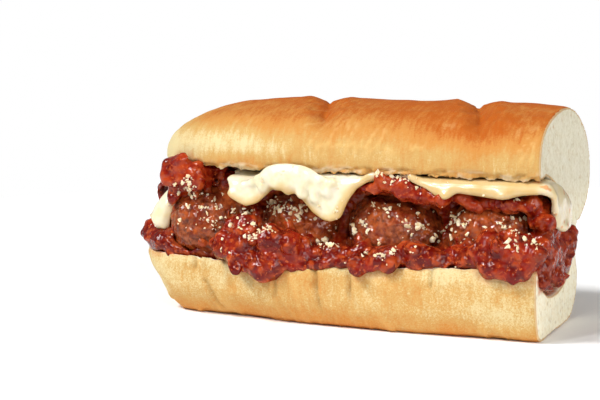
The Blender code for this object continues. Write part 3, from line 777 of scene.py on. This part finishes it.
def make_meatball(index, material):
    """One coarse meatball with its glaze."""
    node = MEATBALLS[index]
    skin = Skin(f"ground_meat_{index + 1}", [welded(node)], MEAT_VOXEL)
    skin.relax(4)
    p = wandered(skin.points, 0.9, 3.0, 2)
    first, own = cells(p / 4.3, 11 + index)
    small, small_own = cells(p / 1.7, 31 + index)
    amount = 0.7 * (0.46 - first) * (0.5 + own) + 0.25 * (0.45 - small) * (0.3 + small_own)
    skin.push(amount + 1.2 * fbm(p / 4.6, 3, 3))
    x, _, z = skin.points.T
    wetter = 0.012 * np.abs(z - 30) + 0.3 * smooth(x, 47, 60)
    # Painted shade: how far each point lies in a hollow, which darkens it
    skin.paint("hollow_shade", smooth(skin.hollows(10), 0.03, 0.3))
    skin.paint("glaze", smooth(fbm(p / 5.5, 3, 13) + wetter, -0.26, 0.08))
    return skin.finish(material, "meat", node)


# Sauce

def surface_spots(points, faces, count, draw, thickness):
    """Random places on a shape, as thick as this function says, with the outward direction there."""
    a, b, c = (points[faces[:, k]] for k in range(3))
    cross = np.cross(b - a, c - a)
    area = np.linalg.norm(cross, axis=1)
    normal = cross / np.maximum(area, 1e-9)[:, None]
    weight = area * thickness((a + b + c) / 3, normal)
    chosen = draw.choice(len(faces), count, p=weight / weight.sum())
    u, v = draw.uniform(0, 1, (2, count))
    over = u + v > 1
    u, v = np.where(over, 1 - u, u), np.where(over, 1 - v, v)
    spots = a[chosen] + u[:, None] * (b - a)[chosen] + v[:, None] * (c - a)[chosen]
    return spots, normal[chosen]


def bits_lie(centre, normal):
    """How thickly bits lie on the filling: over its front and both ends, most on the cut end."""
    front = (normal[:, 1] < 0.2) & (centre[:, 1] < -16)
    ends = (centre[:, 0] > 72) | (centre[:, 0] < -58)
    corner = (centre[:, 0] < -58) & (centre[:, 2] > 35)
    return (front | ends).astype(float) * (1 - corner) * (1 + 0.6 * (centre[:, 0] > 74))


def row_of_bits(draw, x, y_range, z, above, size_range):
    """Bits of tomato side by side along the roll, this far above z."""
    y = draw.uniform(*y_range, len(x))
    height = z + draw.uniform(*above, len(x))
    sizes = draw.uniform(*size_range, len(x))
    return blobs(np.stack([x, y, height], axis=1), sizes, draw, 2, 0.5, 0.4)


def smears(draw, sauce_tree):
    """Small smears on the meatballs, most of them close to the sauce."""
    parts = []
    for node in MEATBALLS:
        points, faces = welded(node)
        spots, normals = surface_spots(points, faces, 260, draw, bits_lie)
        for spot, normal in zip(spots, normals):
            away = sauce_tree.find_nearest(spot)[3]
            if away < 1.0 + 6.0 * draw.uniform() ** 2.2:
                size = draw.uniform(0.7, 1.7)
                parts += blobs([spot - normal * size * SUNK], [size], draw)
    return parts


def sauce_parts():
    """The sauce's solid, the bits of tomato on it and beside it, and the smears."""
    draw = np.random.default_rng(5)
    points, faces = welded("sauce")
    spots, normals = surface_spots(points, faces, 330, draw, bits_lie)
    sizes = 1.2 + 2.2 * draw.uniform(0, 1, len(spots)) ** 1.8
    parts = [(points, faces)]
    parts += blobs(spots - normals * sizes[:, None] * SUNK, sizes, draw, 2, 0.6, 0.45)
    parts += blobs([c[:3] for c in TOMATO_FOLD], [c[3] for c in TOMATO_FOLD], draw, 3, 0.1, 0.1)
    over_last_ball = np.arange(47.0, 75.0, 2.2)
    ball_draw = np.random.default_rng(6)
    parts += row_of_bits(ball_draw, over_last_ball, (-35.0, -32.5), 0.0, (43.0, 45.8), (1.8, 2.9))
    lip_draw = np.random.default_rng(8)
    on_lip = lip_draw.uniform(-8.0, 66.0, 40)
    lip_z = np.interp(on_lip, LIP_X, LIP_Z)
    parts += row_of_bits(lip_draw, on_lip, (-40.9, -39.9), lip_z, (0.0, 1.3), (1.2, 2.1))
    return parts + smears(draw, tree_of([(points, faces)]))


def held_back(p):
    """How much less the sauce swells where it would hide its neighbours or reach too far out."""
    x, y, z = p.T
    cut_end = 0.6 * smooth(x, 74.0, 77.0)
    beside_corner = 2.4 * smooth(-x, 57.0, 61.0) * smooth(z, 33.0, 37.0) * (1 - 0.5 * smooth(z, 43.0, 46.0))
    round_end = 1.3 * smooth(-x, 66.0, 70.0)
    first_ball = 1.8 * smooth(x, -43.0, -40.0) * (1 - smooth(x, -31.0, -28.0)) * smooth(z, 29.0, 32.0)
    front = 0.9 * smooth(-y, 46.0, 48.0)
    return np.maximum.reduce([cut_end, beside_corner, round_end, first_ball * (y < -28), front])


def sauce_swell(p, uneven):
    """How far each point moves out, less at the back, on the smooth fold and on the low drips."""
    x, y, z = p.T
    amount = 0.4 + lumps(uneven, 4.0, 15, 0.5, 0.5, (0.45, 0.9))
    amount += 0.3 * lumps(uneven, 1.9, 35, 0.5, 0.5, (0.3, 0.8)) + 0.9 * fbm(uneven / 4.5, 3, 3)
    back = smooth(y, -22.0, -14.0)
    fold = smooth(z, 44.0, 47.0) * (1 - smooth(x, -45.0, -41.0))
    drips = (1 - smooth(z, 20.0, 27.0)) * (1 - smooth(x, 70.0, 74.0))
    return amount * (1 - 0.7 * back) * (1 - 0.6 * np.maximum(fold, drips)) - held_back(p)


def make_sauce():
    """Chunky sauce with bits of tomato, which closes round the meatballs."""
    skin = Skin("chunky_sauce", sauce_parts(), SAUCE_VOXEL)
    skin.relax(7)
    uneven = wandered(skin.points, 1.6, 3.5, 3)
    skin.push(sauce_swell(skin.points, uneven))
    skin.relax(3)
    p = skin.points
    x, _, z = p.T
    under_first_ball = (1 - smooth(x, -54.0, -46.0)) * (1 - smooth(z, 28.0, 33.0))
    round_end = np.maximum(1 - smooth(x, -62.0, -56.0), under_first_ball)
    cut_end = smooth(x, 73.0, 76.0)
    skin.relax(20, 0.6, 1 - np.maximum(round_end, 0.6 * cut_end))
    skin.push(0.4 * cut_end * lumps(p, 2.3, 55, 0.55, 0.5, (0.2, 0.8)))

    hollow = skin.hollows(14)
    chunk = lumps(uneven, 4.0, 15, 0.5, 0.25, (0.5, 0.9))
    pulp = smooth(fbm(p / 2.4, 3, 45), 0.0, 0.3) * smooth(-hollow, -0.1, 0.3) * (1 - 0.5 * cut_end)
    end_pulp = smooth(fbm(p / 1.5, 2, 49), -0.2, 0.1) * cut_end
    meat_tree = tree_of([welded(node) for node in MEATBALLS])
    from_meat = np.array([meat_tree.find_nearest(place)[3] for place in p])
    glazed = (1 - smooth(from_meat, 0.8, 2.6)) * smooth(fbm(p / 3.0, 3, 47), -0.25, 0.15)
    # Painted shade: how far each point lies in a hollow, which darkens it
    skin.paint("hollow_shade", smooth(hollow, 0.05, 0.5))
    skin.paint("chunk", np.maximum.reduce([0.7 * chunk, pulp, 0.4 * end_pulp]))
    skin.paint("glazed", 0.8 * glazed)
    return skin.finish(sauce_finish(), "sauce", "sauce")


# Melted slices

def hanging_edge(points, along_axis, step):
    """Points along a slice's lowest edge, where it hangs."""
    keys = np.round(points[:, along_axis] / step).astype(int)
    found = []
    for key in np.unique(keys):
        group = points[keys == key]
        found.append(group[np.argmin(group[:, 2])])
    found = np.array(found)
    return found[np.argsort(found[:, along_axis])]


def beads_along(edge, gap, radius, draw):
    """Rounded drops side by side along an edge."""
    lengths = np.concatenate([[0], np.cumsum(np.linalg.norm(np.diff(edge, axis=0), axis=1))])
    at = np.arange(0, lengths[-1], gap)
    centres = np.stack([np.interp(at, lengths, edge[:, k]) for k in range(3)], axis=1)
    centres[:, 2] += radius * 0.55
    sizes = radius * (1 + 0.14 * noise(np.stack([at / 6, at * 0, at * 0], axis=1), 3))
    return blobs(centres, sizes, draw, 2, 0.05, 0.08)


def distance_to(edges, p):
    """Each point's distance to the nearest of these edges, up to 9 mm."""
    nearest = np.full(len(p), 9.0)
    for edge in edges:
        for start, end in zip(edge, edge[1:]):
            way = end - start
            share = np.clip(((p - start) @ way) / max(way @ way, 1e-9), 0, 1)
            nearest = np.minimum(nearest, np.linalg.norm(p - start - share[:, None] * way, axis=1))
    return nearest


def make_slice(name, node, shape, edges, bead, swellings, yellow, material):
    """One melted slice with a thick rounded rim."""
    draw = np.random.default_rng(9)
    parts = [shape]
    for edge in edges:
        parts += beads_along(edge, BEAD_GAP, bead, draw)
    parts += blobs([s[:3] for s in swellings], [s[3] for s in swellings], draw, 3, 0.1, 0.15)
    skin = Skin(name, parts, SLICE_VOXEL)
    skin.relax(34)
    p = skin.points
    skin.push(0.35 * fbm(p / 8.0, 2, 21) + 0.1)
    x = p[:, 0]
    from_rim = distance_to(edges, p) + 1.5 * smooth(x, 18.0, 24.0)
    golden = (1 - smooth(from_rim, 0.8, 3.2)) * (0.45 + 0.4 * smooth(x, -58.0, -50.0))
    plain = yellow * (1 - 0.5 * smooth(x, 74.0, 78.0))
    skin.paint("rim", np.maximum(plain, golden) + 0.1 * smooth(fbm(p / 5.0, 2, 27), 0.05, 0.3))
    skin.paint("toast", 0.7 * smooth(fbm(p / 2.4, 2, 29), 0.25, 0.36) * smooth(x, 70, 76))
    return skin.finish(material, "melted_cheese", node)


def make_left_slice(material):
    """The slice with two drooping corners, which sinks between them and climbs over the crown's edge."""
    points, faces = welded("cheese_left")
    x, y, z = points.T
    pocket = smooth(x, -36.0, -31.0) * (1 - smooth(x, -23.0, -17.0)) * smooth(-y, 22.0, 34.0)
    points[:, 2] -= 2.4 * pocket * smooth(z, 40.0, 48.5)
    edge = hanging_edge(points[y < SLICE_FRONT], 0, 2.6)[1:]
    return make_slice("melted_slice_left", "cheese_left", (points, faces), [edge], THICK_BEAD, SLICE_RIDGE,
                      0.0, material)


def make_right_slice(material):
    """The slice that lies along the front and hangs over the cut end."""
    points, faces = welded("cheese_right")
    x, y, _ = points.T
    front = hanging_edge(points[(y < SLICE_FRONT) & (x < FLAP_X)], 0, 3.0)
    flap = hanging_edge(points[x > FLAP_X], 1, 5.0)
    return make_slice("melted_slice_right", "cheese_right", (points, faces), [front, flap], THICK_BEAD, (),
                      0.75, material)


def make_corner(material):
    """The corner of a slice that droops out of the round end."""
    points, faces = welded("cheese_end")
    points[:, 0] += CORNER_SHIFT
    edge = hanging_edge(points, 0, 1.6)
    return make_slice("melted_corner", "cheese_end", (points, faces), [edge], THIN_BEAD, (), 0.0, material)


# Grated cheese

def make_grated(filling, roll):
    """Fine chips of hard cheese in drifts over the filling."""
    draw = np.random.default_rng(21)
    tree = tree_of(filling + [roll])
    filling_faces = sum(len(faces) for _, faces in filling)
    parts = []
    for middle_x, middle_z, half_x, half_z, count in DRIFTS:
        placed = 0
        tries = 0
        while placed < count and tries < count * TRIES_PER_GRAIN:
            tries += 1
            ox, oz = np.clip(draw.normal(0, 0.5, 2), -1.2, 1.2)
            clump = min(int(1 + draw.exponential(2.5)), CLUMP_LIMIT)
            for _ in range(clump):
                near_x, near_z = draw.normal(0, 0.75, 2)
                aim = Vector((middle_x + half_x * ox + near_x, AIM_Y, middle_z + half_z * oz + near_z))
                hit, normal, index, _ = tree.ray_cast(aim - FALL_LENGTH * FALL, FALL)
                if hit is None or index >= filling_faces:
                    continue
                if hit.y > GRAINS_BACK_Y or hit.z < GRAINS_LEAST_Z:
                    continue
                if draw.uniform() > 0.35 + 0.9 * max(0.0, normal.z):
                    continue
                placed += 1
                size = GRAIN_LEAST + GRAIN_SPREAD * draw.uniform() ** 2.6
                parts += blobs([np.array(hit + normal * size * SUNK)], [size], draw, 1, 0.8, 0.6)
    points, faces = together(parts)
    mesh = bpy.data.meshes.new("grated_cheese_grains")
    mesh.from_pydata((points * MM).tolist(), [], faces.tolist())
    grains = bpy.data.objects.new("grated_cheese_grains", mesh)
    bpy.context.scene.collection.objects.link(grains)
    mesh.materials.append(grain_finish())
    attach(grains, "root")


# Surroundings

def make_floor():
    """A plain round floor under and behind the roll."""
    bm = bmesh.new()
    bmesh.ops.create_circle(bm, cap_ends=True, segments=96, radius=FLOOR_RADIUS * MM)
    mesh = bpy.data.meshes.new("floor")
    bm.to_mesh(mesh)
    bm.free()
    floor = bpy.data.objects.new("floor", mesh)
    floor.location = (0.0, (FLOOR_RADIUS - FLOOR_FRONT) * MM, 0.0)
    bpy.context.scene.collection.objects.link(floor)
    mesh.materials.append(floor_finish())


def set_camera():
    """A camera with a long lens, a little above the roll and turned towards its cut end."""
    camera = bpy.data.cameras.new("camera")
    camera.lens = CAMERA_LENS
    camera.sensor_width = 36.0
    camera.clip_start = 0.01
    camera.clip_end = 100.0
    holder = bpy.data.objects.new("camera", camera)
    holder.location = CAMERA_PLACE
    holder.rotation_euler = (math.radians(90 - CAMERA_DOWN), 0.0, math.radians(CAMERA_ROUND))
    bpy.context.scene.collection.objects.link(holder)
    bpy.context.scene.camera = holder
    bpy.context.scene.view_settings.view_transform = "Standard"


def set_world():
    """White surroundings that light the roll less than they show, so that the sauce stays deep red."""
    world = bpy.data.worlds.new("white_room")
    world.use_nodes = True
    tree = world.node_tree
    background = tree.nodes["Background"].inputs
    background["Color"].default_value = (1.0, 1.0, 1.0, 1.0)
    seen = tree.nodes.new("ShaderNodeLightPath").outputs["Is Camera Ray"]
    strength = tree.nodes.new("ShaderNodeMapRange")
    strength.inputs["To Min"].default_value = 0.25
    strength.inputs["To Max"].default_value = 1.0
    tree.links.new(seen, strength.inputs["Value"])
    tree.links.new(strength.outputs["Result"], background["Strength"])
    bpy.context.scene.world = world


def aimed(name, light, place):
    """Puts a light in the scene, pointing at the roll."""
    lamp = bpy.data.objects.new(name, light)
    lamp.location = place
    lamp.rotation_euler = (LIT_PLACE - Vector(place)).to_track_quat("-Z", "Y").to_euler()
    bpy.context.scene.collection.objects.link(lamp)


def add_sun(name, place, strength, spread):
    """Even soft light from one side."""
    light = bpy.data.lights.new(name, "SUN")
    light.energy = strength
    light.angle = math.radians(spread)
    aimed(name, light, place)


def add_panel(name, place, size, power):
    """A square soft panel."""
    light = bpy.data.lights.new(name, "AREA")
    light.shape = "SQUARE"
    light.size = size
    light.energy = power
    aimed(name, light, place)


def set_lights():
    """Soft key light from the front left, a softer one on the cut end, and two small bright panels."""
    add_sun("key", (-0.45, -0.5, 0.8), 2.75, 15.0)
    add_sun("side", (0.85, -0.4, 0.3), 1.3, 30.0)
    add_panel("sparkle_left", (-0.25, -0.75, 0.55), 0.06, 2.2)
    add_panel("sparkle_right", (0.45, -0.75, 0.45), 0.05, 1.1)


make_floor()
set_camera()
set_world()
set_lights()
roll = make_roll(tree_of([welded("sauce")]))
meat = meat_finish()
filling = [make_meatball(index, meat) for index in range(len(MEATBALLS))]
filling.append(make_sauce())
cheese = slice_finish()
filling += [make_left_slice(cheese), make_right_slice(cheese), make_corner(cheese)]
make_grated(filling, roll)
